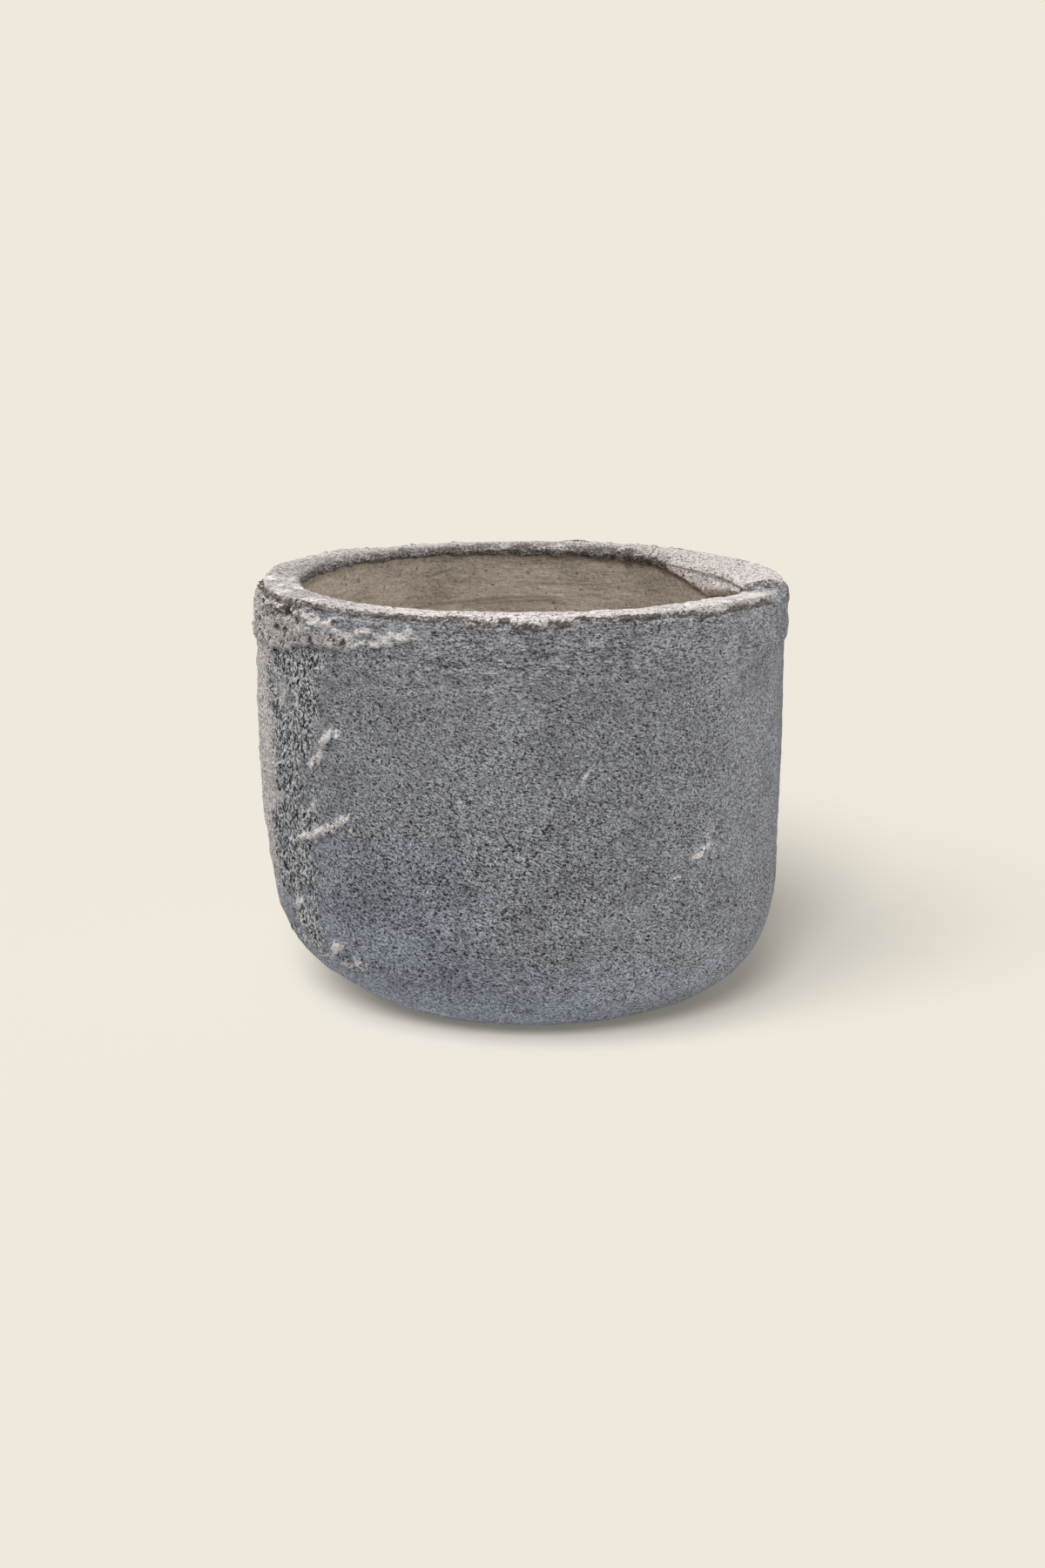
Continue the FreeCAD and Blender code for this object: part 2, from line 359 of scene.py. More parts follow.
# %% Uneven left and right sides
LEFT_LEVELS = [3, 11, 28, 44, 77, 95, 110, 141, 166, 192, 207, 280, 342, 401, 440, 460, 475]
LEFT_OFFSETS = [0, -9, -11, -8, -5.5, -5.5, -4, -3.3, 0, 1.6, 3.6, 4.6, 3, 0, -3, -5.5, -6]
RIGHT_LEVELS = [3, 12, 28, 47, 66, 89, 113, 152, 202, 262, 322, 381, 415, 431, 475]
RIGHT_OFFSETS = [0, 3, 4.3, 7, 6, 3.6, 0.7, 0, -0.6, -1.8, -3.6, -5.3, -5.3, -6.5, -7.5]


def rounded_table(level, levels, offsets):
    """Read a table of offsets by level, in millimetres, with its corners rounded off."""
    grid = np.arange(481)
    window = np.hanning(33)
    padded = np.pad(np.interp(grid, levels, offsets), 16, mode="edge")
    rounded = np.convolve(padded, window / window.sum(), mode="valid")
    return np.interp(level * 1000, grid, rounded) / 1000


def on_side(middle):
    """1 at a turn of the pot, falling to 0 a quarter round from it."""
    return np.clip(np.cos(np.radians(away(pot_turn, middle))), 0, 1) ** 1.5


on_left = on_side(-174) * (1 - 0.7 * soft_step(pot_back, 0.04, 0.16) * soft_step(pot_level, 0.4, 0.46))
left_offset = rounded_table(pot_level, LEFT_LEVELS, LEFT_OFFSETS)
right_offset = rounded_table(pot_level, RIGHT_LEVELS, RIGHT_OFFSETS)
out += is_outer * (on_left * left_offset + on_side(-6) * right_offset)

# %% Lumps that the hand leaves all over
broad = lumps(pot_points, 0.11, 1)
middle = lumps(pot_points, 0.036, 2)
small = lumps(pot_points, 0.014, 3)
grit = lumps(pot_points, 0.0065, 4)
crumbs = lumps(pot_points, 0.0046, 17)
drag = lumps(pot_points * [1, 1, 3.6], 0.04, 16)
out += is_worked * (0.0012 * broad + 0.0007 * middle + 0.0004 * small)
calmer = 1 - 0.5 * soft_step(pot_back, 0, 0.1)
out += is_rim * (calmer * (0.0005 * small + 0.0007 * grit + 0.0004 * crumbs))
out += (pot_part == "wall") * (0.0005 * grit)
out += is_outer * (0.0014 * drag * (0.35 + soft_step(pot_level, 0.33, 0.42)))

# %% [markdown]
# The rim's coat hangs a little over the wall, with a ragged lower edge. Three
# thin ledges at the front, each between two turns, hang lower than the rest.

# %% Ragged lip
LIP_EDGE = 0.4708
LIP_OVERHANG = 0.0022
LEDGES = [(-100.5, -95.5, 0.0045), (-92, -86.8, 0.006), (-88, -81, 0.0035)]

lip_edge = LIP_EDGE + 0.0026 * round_lumps(pot_turn, 0.03, 5) + 0.0022 * round_lumps(pot_turn, 0.009, 6)
lip_edge -= 0.004 * along_side(pot_turn, -45, -20, 15)
for first, last, hang in LEDGES:
    lip_edge -= hang * along_side(pot_turn, first, last, 1)
above_lip_edge = pot_level - lip_edge
lip_hang = LIP_OVERHANG * (0.8 + 0.7 * round_lumps(pot_turn, 0.016, 18))
hang_share = soft_step(above_lip_edge, -0.0006, 0.001)
near_lip = soft_step(pot_level, 0.448, 0.462) * (1 - 0.9 * along_side(pot_turn, -22, 4, 4))
out += is_outer * (lip_hang * (hang_share - 0.5) * near_lip)
on_lip_face = is_outer * hang_share * near_lip
out += on_lip_face * (0.0012 * grit + 0.0012 * crumbs + 0.0008 * small)

# %% [markdown]
# On the right the mortar of the rim overlaps its own start. Behind the step the
# coat is thicker, as a wide band that stands out from the wall.

# %% Thick band below the overlap
BAND_DEPTH = 0.0028
BAND_FOOT = 0.411
band_edge = BAND_FOOT + 0.003 * round_lumps(pot_turn, 0.025, 7)
band = soft_step(pot_level, band_edge - 0.004, band_edge + 0.004)
band *= along_side(pot_turn, -27, 75, 9)
out += is_outer * (BAND_DEPTH * band)

# %% [markdown]
# Single marks, each as its height, half its width and a line of (turn, level)
# points, in millimetres and degrees: the raised edges of a coarse patch at the
# upper left, pale ridges down the left, and a few scuffs on the right. A minus
# height is a groove.

# %% Ridges and grooves on the wall
MARKS = [
    (3, 6.5, [(-158, 463), (-141.6, 461), (-133.2, 455), (-128, 443)]),
    (2.6, 6, [(-128.6, 438), (-124.6, 452.6), (-120.8, 450)]),
    (2.4, 5.5, [(-132, 436), (-125, 437), (-118.8, 443.5), (-112, 450.6)]),
    (2, 5, [(-121, 449), (-115.8, 451.5), (-113, 456)]),
    (3.6, 6.2, [(-130.5, 342), (-133.6, 339), (-134.2, 331), (-137, 322)]),
    (4, 6.8, [(-136.6, 324), (-135.8, 315), (-138.6, 303.8)]),
    (3.6, 7, [(-145, 214), (-142, 222), (-139.8, 221), (-137.4, 231)]),
    (3.2, 5.8, [(-137.6, 231), (-133.4, 236), (-132, 243), (-129.4, 249), (-127.6, 236)]),
    (1.2, 5, [(-143, 232), (-139, 262)]),
    (3.6, 7, [(-144.5, 83.8), (-141.4, 77.4)]),
    (4, 7.5, [(-138.4, 87.7), (-136.7, 99.3), (-133, 99.2)]),
    (3, 5.5, [(-136.5, 79), (-134, 76)]),
    (2.6, 5, [(-131.5, 84), (-130, 79.5)]),
    (2, 5, [(-148.5, 118), (-146, 108)]),
    (2.2, 5.5, [(-150, 150), (-148.5, 139), (-146.5, 141)]),
    (1.3, 7.5, [(-51.4, 207), (-49.5, 211), (-47.4, 217)]),
    (1, 3.5, [(-56.8, 189), (-54.1, 191.5)]),
    (0.8, 3.5, [(-54.6, 133.7), (-53.6, 134.5)]),
    (0.8, 3.5, [(-49.6, 85.7), (-48.8, 86.2)]),
    (0.8, 3, [(-79.6, 291.6), (-77.2, 309), (-74.3, 322.7)]),
    (-2.2, 4, [(-44.7, 234.5), (-44.4, 224)]),
    (-3, 4.5, [(-23.9, 460), (-23.2, 451)]),
    (-2, 4, [(-36.1, 423), (-36, 419.5)]),
    (-4.5, 7.5, [(-148.5, 463.7), (-147.9, 459)]),
    (-4, 7, [(-153.6, 444.8), (-153, 438)]),
    (-4, 6, [(-157.5, 414), (-157.2, 409)]),
    (-3, 4, [(-81.1, 227.5), (-81, 225.5)]),
]
RIDGE_BOOST = 1.5
FULL_RIDGE = 2.8
loose_turn = pot_turn + 1.8 * small + grit
loose_level = pot_level + 0.006 * small + 0.0035 * grit
crumbled = np.clip(0.78 + 1.1 * crumbs + 1.1 * grit + 0.3 * small, 0, 1.3)
ridge_share = np.zeros(len(pot_points))
groove_shade = np.zeros(len(pot_points))
for height, half_width, line in MARKS:
    share = near_line(loose_turn, loose_level, line, half_width)
    if height > 0:
        share *= crumbled
        ridge_share = np.maximum(ridge_share, share * min(1, height / FULL_RIDGE))
    else:
        groove_shade = np.maximum(groove_shade, share)
    out += is_outer * (RIDGE_BOOST * height / 1000 * share)

# %% [markdown]
# The coarse patch at the upper left and the strips down the left are rough,
# crumbly mortar. The speckled strip also carries painted sunlight and shade on
# its crumbs, as a low sun grazing them would give.

# %% Rough patch and strip on the left
torn_turn = pot_turn + 5 * middle + 3 * small + 1.5 * grit
torn_level = pot_level + 0.01 * middle + 0.007 * small + 0.003 * grit
patch_top = np.interp(torn_turn, [-180, -142, -132, -128], [0.474, 0.472, 0.452, 0.446])
patch_foot = np.interp(torn_turn, [-180, -158, -147, -132], [0.414, 0.416, 0.42, 0.429])
patch = along_side(torn_turn, -188, -131, 3)
patch *= soft_step(torn_level, patch_foot - 0.003, patch_foot + 0.003)
patch *= soft_step(torn_level, patch_top + 0.002, patch_top - 0.002)
edge_strip = along_side(torn_turn, 172, 206, 5) * soft_step(torn_level, 0.07, 0.2)
edge_strip *= 0.3 + 0.7 * soft_step(away(torn_turn, 168), 0, 28)
edge_strip *= soft_step(pot_level, 0.464, 0.458)
strip_start = np.interp(pot_level, [0.1, 0.2, 0.25, 0.42], [-158, -156, -152, -157])
strip_end = np.interp(pot_level, [0.1, 0.25, 0.31, 0.42], [-144, -141, -142, -137])
painted_sun_speckle = along_side(torn_turn, strip_start, strip_end, 6) * soft_step(torn_level, 0.05, 0.1)
painted_sun_speckle *= soft_step(torn_level, patch_foot + 0.008, patch_foot - 0.004)
painted_sun_speckle *= np.clip(0.82 + 0.9 * middle + 0.5 * small, 0, 1.3)
painted_sun_speckle *= 1 - 0.9 * np.clip(2 * ridge_share, 0, 1)
rough = np.clip(patch + 0.45 * edge_strip + 0.7 * painted_sun_speckle, 0, 1)
out += is_outer * (rough * (0.0012 * small + 0.0022 * grit + 0.0016 * crumbs))
# Painted shade in the dents of the rough mortar.
dent_shade = rough * soft_step(-(0.6 * grit + 0.5 * crumbs + 0.3 * small), 0.08, 0.34)
out += is_outer * (0.003 * patch)

# %% [markdown]
# The rim's outer edge is rolled off more at the sides and back. Tables by turn
# say how far the inner edge drops and leans inwards, in millimetres: a little at
# the front, more behind, and into a wide shoulder, the lobe, at the rear right.
# The lobe's own table gives its lean from the top of the wrap to its end. A knob
# is a bump or a notch of the inner edge: its turn, half its width and its height.

# %% Rolled outer edge and rounded inner edge
ROLL = 0.0035
EDGE_TURNS = [-180, -90, -45, -14, -6, 4, 38, 47, 54, 62, 90, 130, 165, 180]
EDGE_DROPS = [2.5, 1, 1.5, 3.5, 7, 10, 10, 7.5, 4.5, 3.5, 3, 3, 2.5, 2.5]
EDGE_LEANS = [1, 0.5, 0.5, 5, 9, 12, 12, 9, 5, 4.5, 2.5, 2, 1, 1]
LOBE_SHARES = [0, 0.08, 0.22, 0.42, 0.7, 0.9, 1]
LOBE_LEANS = [1, 0.84, 0.74, 0.84, 0.85, 0.6, 0.2]
KNOBS = [(62, 1.2, 0.0075), (59.4, 1, -0.0035), (64.4, 0.9, -0.003), (50, 1.7, 0.0085),
         (53, 1.1, -0.004), (46.8, 1.2, -0.0035), (80, 1.2, 0.003), (72, 1.2, -0.0025),
         (95, 0.8, 0.0035)]

rolled = ROLL * (0.35 + 0.65 * soft_step(pot_back, -0.22, -0.05))
rolled *= 1 - 0.6 * along_side(pot_turn, 115, 165, 12)
outer_share = soft_step(pot_radius, 0.268, 0.297) * is_rim
inner_share = np.where(is_inner_rim, soft_step(pot_radius, 0.28, 0.2515), 0)
edge_drop = np.interp(pot_turn, EDGE_TURNS, EDGE_DROPS) / 1000
edge_lean = np.interp(pot_turn, EDGE_TURNS, EDGE_LEANS) / 1000
knobs = np.zeros(len(pot_points))
for turn, half_width, height in KNOBS:
    knob = np.exp(-(away(pot_turn, turn) / half_width) ** 2)
    edge_drop -= 0.5 * height * knob
    edge_lean += height * knob
    knobs += knob * np.sign(height)
wrap_share = np.clip((wrap_start[1] - pot_level) / (wrap_start[1] - wrap_end[1]), 0, 1)

drop = rolled * outer_share ** 2 + np.where(is_wrap, 0, edge_drop * inner_share ** 2)
inward = np.where(is_rim & ~is_wrap, 0.5 * rolled * outer_share ** 2, 0)
lobe = along_side(pot_turn, -8, 40, 8)
plain_lean = 1 - 0.75 * wrap_share
lobe_lean = np.interp(wrap_share, LOBE_SHARES, LOBE_LEANS)
wrap_lean = plain_lean + (lobe_lean - plain_lean) * lobe
inward += edge_lean * inner_share * np.where(is_wrap, wrap_lean, 1)

# %% [markdown]
# Inside, the grey coat ends in a ragged edge a finger's width down. At the
# rear right a lobe of it runs further down over the tan coat.

# %% Lower edge of the wrap inside the rim
WRAP_PROUD = 0.0016
END_TURNS = [-180, 0, 14, 21, 30, 36, 46, 49, 66, 90, 120, 138, 153, 171, 180]
END_LEVELS = [461, 452, 444, 438, 433, 441, 453, 457, 461, 462, 464, 464, 462, 460, 461]

ragged = 0.0022 * round_lumps(pot_turn, 0.022, 8) + 0.0022 * round_lumps(pot_turn, 0.007, 9)
end_level = np.interp(pot_turn, END_TURNS, END_LEVELS) / 1000 + ragged
start_level = wrap_start[1] - edge_drop
new_level = start_level + (end_level - start_level) * wrap_share
proud = WRAP_PROUD * (1 - wrap_share ** 6) - 0.001 * wrap_share ** 6
level_change = np.where(is_wrap, new_level - pot_level, 0)
inward += np.where(is_wrap, proud + (0.0009 * grit + 0.0008 * crumbs) * (1 - wrap_share ** 4), 0)

# %% [markdown]
# The overlap in the rim is a small step. The rim in front of it lies up to 9 mm
# lower, least at its outer edge, and climbs back to its level along a hand's
# width. Points close to the step are drawn up to it, which keeps it crisp. The
# tan coat uses the same drop later, so that it stays below the rim.

# %% The overlap's step
STEP_PLACE = -0.047
STEP_RADII = [0.25, 0.262, 0.285, 0.3]
STEP_DEPTHS = [0.006, 0.0088, 0.0075, 0.0025]
STEP_LENGTH = 0.12
STEP_CRISP = 0.0075
RIM_ZONE = (0.44, 0.463)


def behind_step(points):
    """How far behind the step's line each point lies; in front of it this is negative."""
    return points[:, 1] - STEP_PLACE - 0.12 * (0.285 - points[:, 0])


def near_rim(points):
    """1 at the rim's right half, fading out below it."""
    return soft_step(points[:, 2], *RIM_ZONE) * (points[:, 0] > 0.15)


def step_drop(points, from_step):
    """How far the overlap lets each point of the rim down."""
    depth = np.interp(radius_of(points), STEP_RADII, STEP_DEPTHS)
    in_front = np.clip(-from_step / STEP_LENGTH, 0, 1)
    return depth * (1 - in_front) * (from_step < 0) * near_rim(points)


at_rim = near_rim(pot_points) * is_worked
from_step = behind_step(pot_points) + 0.0015 * small
drop += step_drop(pot_points, from_step) * is_worked
drop -= 0.0026 * along_side(pot_turn, 138, 168, 14) * outer_share
drop -= 0.0018 * np.exp(-np.clip(from_step, 0, 1) / 0.018) * (from_step >= 0) * at_rim
close = np.abs(from_step) < STEP_CRISP
drawn = np.sign(from_step) * from_step ** 2 / STEP_CRISP - from_step
shift = np.where(close & (at_rim > 0), drawn * at_rim, 0)

# %% Put the worked points in place
new_turn = pot_turn + np.degrees(shift / np.maximum(pot_radius, 0.1))
new_radius = pot_radius + out * way_out[:, 0] - inward + level_change * LEAN
new_height = pot_level + out * way_out[:, 1] - drop + level_change
put_points(pot, new_turn, new_radius, new_height)

# %% [markdown]
# Where each finish lies is stored on the mesh as attributes, one number a
# point, so that the material's colour and the relief agree: pale mortar, the
# speckled strip with painted sunlight on its crumbs, smooth patches without
# pits, a painted blue tint of skylight in shade low down, painted light on the
# rim, ridges, lobe, left side and foot, level strokes near the rim, denser pits,
# and painted shade with a browner band inside the rim.

# %% Attributes for the outer material
def paint(piece, name, values):
    """Store one number a point on the mesh."""
    attribute = piece.data.attributes.new(name, "FLOAT", "POINT")
    attribute.data.foreach_set("value", np.asarray(values, dtype=np.float32))


SHADE_RADII = [0.25, 0.272, 0.3]

on_lip = np.isin(pot_part, ["top", "inner_lip"])
on_lip = np.where(is_outer, soft_step(above_lip_edge, -0.0008, 0.0008) * near_lip, on_lip)
wedge = along_side(torn_turn, -139, -112, 3) * soft_step(torn_level, 0.441, 0.449) * (1 - on_lip)
lobe_pale = along_side(pot_turn, 0, 43, 6)
ridge_pale = np.clip(2.6 * ridge_share, 0, 0.95)
pale = np.maximum.reduce([on_lip, ridge_pale, 0.9 * patch, 0.8 * edge_strip])
pale = np.where(is_wrap, 0.3 + 0.55 * lobe_pale, pale)
pale *= 1 - 0.9 * wedge * (ridge_share < 0.2)
right_band = along_side(torn_turn, -42, -12, 6) * soft_step(torn_level, 0.14, 0.19)
smooth = np.clip(wedge + 0.55 * right_band, 0, 1)
# Painted blue tint of skylight in shade: strongest at the lower left and near the foot, faint on all the
# wall below the rim.
low_left = along_side(pot_turn, -152, -112, 20) * soft_step(pot_level, 0.28, 0.1)
low_all = soft_step(pot_level, 0.13, 0.04)
sky_tint_below = low_all * (0.2 + 0.6 * along_side(pot_turn, -170, -78, 25))
painted_sky_tint = np.clip(0.9 * low_left + sky_tint_below, 0, 1) + 0.25 * soft_step(pot_level, 0.45, 0.3)
rear_share = np.interp(pot_turn, [-180, -150, 30, 48, 60, 150, 170, 180],
                       [0.4, 0, 0, 0.3, 1, 1, 0.7, 0.4])
# Painted light: the rim top is lighter or darker by turn as the sun lit it, lightest at the front left and
# on the rear's outer edge; the ridges, the patch, the left edge, the lobe and the bumps of the inner edge
# are lighter too; and the foot is lighter in place of light from the floor.
painted_rim_light = np.interp(pot_turn, [-180, -150, -115, 0, 40, 60, 130, 160, 180],
                       [-0.3, -0.2, 1.25, 0.85, 0.45, 0.3, 0.2, -0.1, -0.3])
painted_rim_light += 0.7 * rear_share * soft_step(pot_radius, 0.272, 0.29)
painted_light = np.where(is_rim & ~is_wrap, painted_rim_light * on_lip, 1.3 * soft_step(pot_level, 0.16, 0))
ridge_painted_light = np.where(pot_level > 0.4, 2, 3.6) * ridge_pale
painted_light = np.maximum.reduce([painted_light, ridge_painted_light, 1.8 * patch, 1.5 * edge_strip,
                           is_wrap * np.maximum(2.2 * lobe_pale, np.clip(knobs, 0, 1))])
dense = along_side(pot_turn, -128, -85, 16) * np.clip(1 - np.abs(pot_level - 0.2) / 0.15, 0, 1)
dense -= 0.8 * soft_step(pot_level, 0.09, 0.03)
# Painted shade round the lip: a shadow line under its hanging edge, shade in the gaps between its grains,
# and a darker face that the sun does not reach.
lip_edge_shadow = soft_step(above_lip_edge, -0.002, -0.0004) * soft_step(above_lip_edge, 0.0025, 0.0005)
lip_edge_shadow *= 0.2 + 0.6 * soft_step(small + 0.5 * grit, -0.2, 0.4)
lip_gap_shade = soft_step(above_lip_edge, 0, 0.001) * soft_step(above_lip_edge, 0.011, 0.006)
lip_gap_shade *= 0.85 * soft_step(-(grit + 0.7 * crumbs), -0.08, 0.3)
lip_face = soft_step(above_lip_edge, 0, 0.001) * soft_step(above_lip_edge, 0.01, 0.004)
lip_shade = np.maximum.reduce([lip_edge_shadow, lip_gap_shade, 0.76 * lip_face * (1 + 0.6 * small)])
# Inside the rim: a darker, browner band down the wrap, partly painted shade, except on the lobe; painted
# shade in the crease under the shoulder, on the rim's inner edge at the rear and right, and in the
# notches, with none on the bumps.
brown_band_and_shade = (0.55 - 0.3 * np.abs(wrap_share - 0.45)) * (1 - lobe_pale)
crease_shade = np.exp(-((wrap_share - 0.16) / 0.2) ** 2) * lobe_pale
crease_shade *= np.interp(pot_turn, [-8, 6, 25, 43], [1.5, 1.3, 0.8, 0.5])
inner_edge_shade = 0.76 * rear_share * soft_step(pot_radius, 0.279, 0.255) * (0.9 + 0.5 * small)
right_edge_shade = 0.22 * along_side(pot_turn, -4, 44, 5) * soft_step(pot_radius, 0.262, 0.2515)
inner_edge_shade = np.where(is_inner_rim, np.maximum(inner_edge_shade, right_edge_shade), 0)
inside_shade_and_band = np.where(is_wrap, np.maximum(brown_band_and_shade, 0.42 * crease_shade), inner_edge_shade)
inside_shade_and_band *= 1 - np.clip(knobs, 0, 1)
inside_shade_and_band += 0.5 * np.clip(-knobs, 0, 1) ** 3 * (inner_share > 0.75)
front_half = pot_back < 0
# Painted shade on the step's face, and a painted shadow that the step lays on the rim in front of it,
# where pale mortar and painted light fade to grey.
shade_length = np.interp(pot_radius, SHADE_RADII, [0.012, 0.022, 0.026])
step_shade = np.where(from_step < 0, 0.62 * np.exp(from_step / shade_length), 0.5 * (from_step < 0.0038))
step_shade *= soft_step(pot_radius, 0.296, 0.284) * (is_inner_rim & front_half & (at_rim > 0))
step_shadow_length = np.interp(pot_radius, SHADE_RADII, [0.02, 0.06, 0.105])
step_shadow = soft_step(-from_step, step_shadow_length, 0.4 * step_shadow_length) * (from_step < 0) * (at_rim > 0)
pale *= np.where(front_half, 1 - 0.85 * step_shadow, 1)
painted_light *= np.where(front_half, 1 - step_shadow, 1)
# Painted shade in one attribute: in grooves and dents, round the lip, inside the rim with its browner
# band, and at the step.
wall_shade = np.maximum.reduce([groove_shade, lip_shade * near_lip, dent_shade * (0.5 + 0.42 * patch)])
painted_shade_and_band = np.maximum.reduce([is_outer * wall_shade, is_rim * np.clip(inside_shade_and_band, 0, 1), 0.95 * step_shade])

finishes = dict(pale=pale, painted_sun_speckle=painted_sun_speckle * is_outer, smooth=smooth, painted_sky_tint=painted_sky_tint, painted_light=painted_light,
                level_strokes=soft_step(pot_level, 0.36, 0.43), rough=rough * is_outer,
                dense=dense, painted_shade_and_band=painted_shade_and_band)
for name, values in finishes.items():
    paint(pot, name, np.where(is_worked, values, 0))

# %% [markdown]
# The tan coat is a thin shell inside the pot, smoothed with a trowel, so it only
# swells gently, with a raised line where two runs of the trowel meet. Its top
# goes up behind the grey wrap.

# %% Outline of the tan coat
LINING_TOP = 0.469
SEEN_LEVEL = 0.385
lining_turn = touching_point(INNER_CENTRE, INNER_ROUND)
lining_back = inner_point(LINING_TOP, LINING_THICKNESS)
seen_end = inner_point(SEEN_LEVEL)
lining_outline, lining_part_of_row = in_one_row({
    "back": ([(PAN_RADIUS, FLOOR_LEVEL - LINING_THICKNESS)]
             + arc(INNER_CENTRE, BACK_ROUND, -89, -LEAN_DEGREES, 12)
             + run(back_turn, lining_back, 0.05) + [lining_back]),
    "face": (run(inner_point(LINING_TOP), seen_end, 0.0021) + run(seen_end, lining_turn, 0.005)
             + arc(INNER_CENTRE, INNER_ROUND, -LEAN_DEGREES, -90, 30)
             + [(PAN_RADIUS, FLOOR_LEVEL)]),
})

# %% Turn the tan coat and work its face
LINING_STEPS = 420
LINING_RADIUS = 0.249
FULL_LINE = 0.8
TROWEL_LINES = [
    (1.8, 6, [(106.5, 406.5), (97, 409), (86.1, 410.8), (80, 409.2)]),
    (0.7, 5, [(122, 402), (112, 405), (106, 406)]),
    (0.5, 4, [(92, 427), (74, 425.5), (66, 427.5)]),
    (-0.6, 3.5, [(117.6, 437), (113.5, 442), (109.8, 445.4)]),
    (-0.6, 3.5, [(109.2, 459), (106, 461.5), (104.7, 463)]),
]
lining = spin_outline("tan_coat", lining_outline, LINING_STEPS)
lining_points = read_points(lining)
lining_part, lining_way = origin_of(lining_points, lining_outline, lining_part_of_row)
lining_round = turn_of(lining_points)
lining_level = lining_points[:, 2]
is_face = lining_part == "face"
swell = 0.0011 * lumps(lining_points, 0.12, 11) + 0.0005 * lumps(lining_points, 0.04, 12)
swell += 0.00035 * lumps(lining_points * [1, 1, 6], 0.06, 13)
shadow_line_share = np.zeros(len(lining_points))
for height, half_width, line in TROWEL_LINES:
    share = near_line(lining_round, lining_level, line, half_width, LINING_RADIUS)
    swell += height / 1000 * share
    # Painted shadow: a thin dark line just below each trowel line.
    thin = near_line(lining_round, lining_level - 0.0015, line, 0.65 * half_width, LINING_RADIUS)
    shadow_line_share = np.maximum(shadow_line_share, thin * min(1, abs(height) / FULL_LINE))
keep_flat = soft_step(lining_level, FLOOR_LEVEL, FLOOR_LEVEL + 0.01)
swell = np.where(is_face, swell * keep_flat, 0)
lining_drop = step_drop(lining_points, behind_step(lining_points))
low_edge = np.interp(lining_round, EDGE_TURNS, EDGE_DROPS) / 1000
lining_drop += np.maximum(low_edge - 0.002, 0) * soft_step(lining_level, *RIM_ZONE)
put_points(lining, lining_round,
           radius_of(lining_points) + swell * lining_way[:, 0],
           lining_level + swell * lining_way[:, 1] - lining_drop)
# The line attribute holds that painted shadow line.
paint(lining, "line", np.where(is_face, shadow_line_share, 0))
# Painted shade on the tan just below the grey wrap's edge, fading downwards over 12 mm.
wrap_edge = np.interp(lining_round, END_TURNS, END_LEVELS) / 1000
paint(lining, "shade_below_wrap", np.where(is_face, soft_step(lining_level, wrap_edge - 0.012, wrap_edge), 0))

# %% [markdown]
# The screed is laid level round the drain, with a rounded edge at the sump and
# only a slight unevenness.

# %% Floor screed
SUMP_EDGE = 0.003
SCREED_STEPS = 192
screed_outline = (
    run((FLANGE_RADIUS, BASE_TOP), (PAN_RADIUS, BASE_TOP), 0.03)
    + [(PAN_RADIUS, BASE_TOP)]
    + run((PAN_RADIUS, FLOOR_LEVEL), (FLANGE_RADIUS + SUMP_EDGE, FLOOR_LEVEL), 0.004)
    + arc((FLANGE_RADIUS + SUMP_EDGE, FLOOR_LEVEL - SUMP_EDGE), SUMP_EDGE, 90, 180, 5)
    + run((FLANGE_RADIUS, FLOOR_LEVEL - SUMP_EDGE), (FLANGE_RADIUS, BASE_TOP), 0.005)
)
screed = spin_outline("laid_floor", screed_outline, SCREED_STEPS)
screed_points = read_points(screed)
screed_radius = radius_of(screed_points)
on_top = screed_points[:, 2] > FLOOR_LEVEL - 0.0005
inside_edge = soft_step(screed_radius, 0.036, 0.045) * soft_step(screed_radius, 0.134, 0.126)
ripple = 0.0005 * lumps(screed_points, 0.05, 14) + 0.0002 * lumps(screed_points, 0.015, 15)
put_points(screed, turn_of(screed_points), screed_radius,
           screed_points[:, 2] + np.where(on_top, ripple * inside_edge, 0))
for name in ("line", "shade_below_wrap"):
    paint(screed, name, np.zeros(len(screed_points)))

# %% Hide the CAD pieces that the new ones replace, and hang the new ones on the planter
for piece, node, slot in ((pot, "concrete_shell", "coarse_concrete"),
                          (lining, "wall_lining", "smooth_cement"),
                          (screed, "floor_screed", "smooth_cement")):
    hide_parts(node)
    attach(piece, "planter")

# %% [markdown]
# Materials are made of nodes. All helpers work in the tree that was opened last.
# One adds any node, sets it up, feeds its inputs with numbers or with other
# nodes' results, and hands back one of its results. The others use it.

# %% Node helpers
tree = None


def open_tree(new_tree):
    """Work in this tree from now on."""
    global tree
    tree = new_tree


def feed(socket, value):
    """Link another node's result to this input, or set it to a plain value."""
    if isinstance(value, bpy.types.NodeSocket):
        tree.links.new(value, socket)
    else:
        socket.default_value = value


def add_node(kind, inputs, result=0, **settings):
    """Add a node, set it up, feed its inputs and hand back one of its results."""
    node = tree.nodes.new("ShaderNode" + kind)
    for name, value in settings.items():
        setattr(node, name, value)
    for name, value in inputs.items():
        feed(node.inputs[name], value)
    return node.outputs[result]


def calc(operation, first, second=0):
    """One step of arithmetic."""
    return add_node("Math", {0: first, 1: second}, operation=operation)


def product(first, second):
    """One value times the other."""
    return calc("MULTIPLY", first, second)


def blend_of(*parts):
    """The sum of (value, weight) pairs."""
    total = product(*parts[0])
    for value, weight in parts[1:]:
        total = calc("ADD", total, product(value, weight))
    return total


def stretch(value, low, high, new_low=0, new_high=1):
    """Carry one range of values over to another, and stop at its ends."""
    ends = {"From Min": low, "From Max": high, "To Min": new_low, "To Max": new_high}
    return add_node("MapRange", {"Value": value, **ends}, "Result")


def mix(share, first, second, way="MIX"):
    """Mix two colours."""
    return add_node("Mix", {0: share, 6: first, 7: second}, 2, data_type="RGBA", blend_type=way)


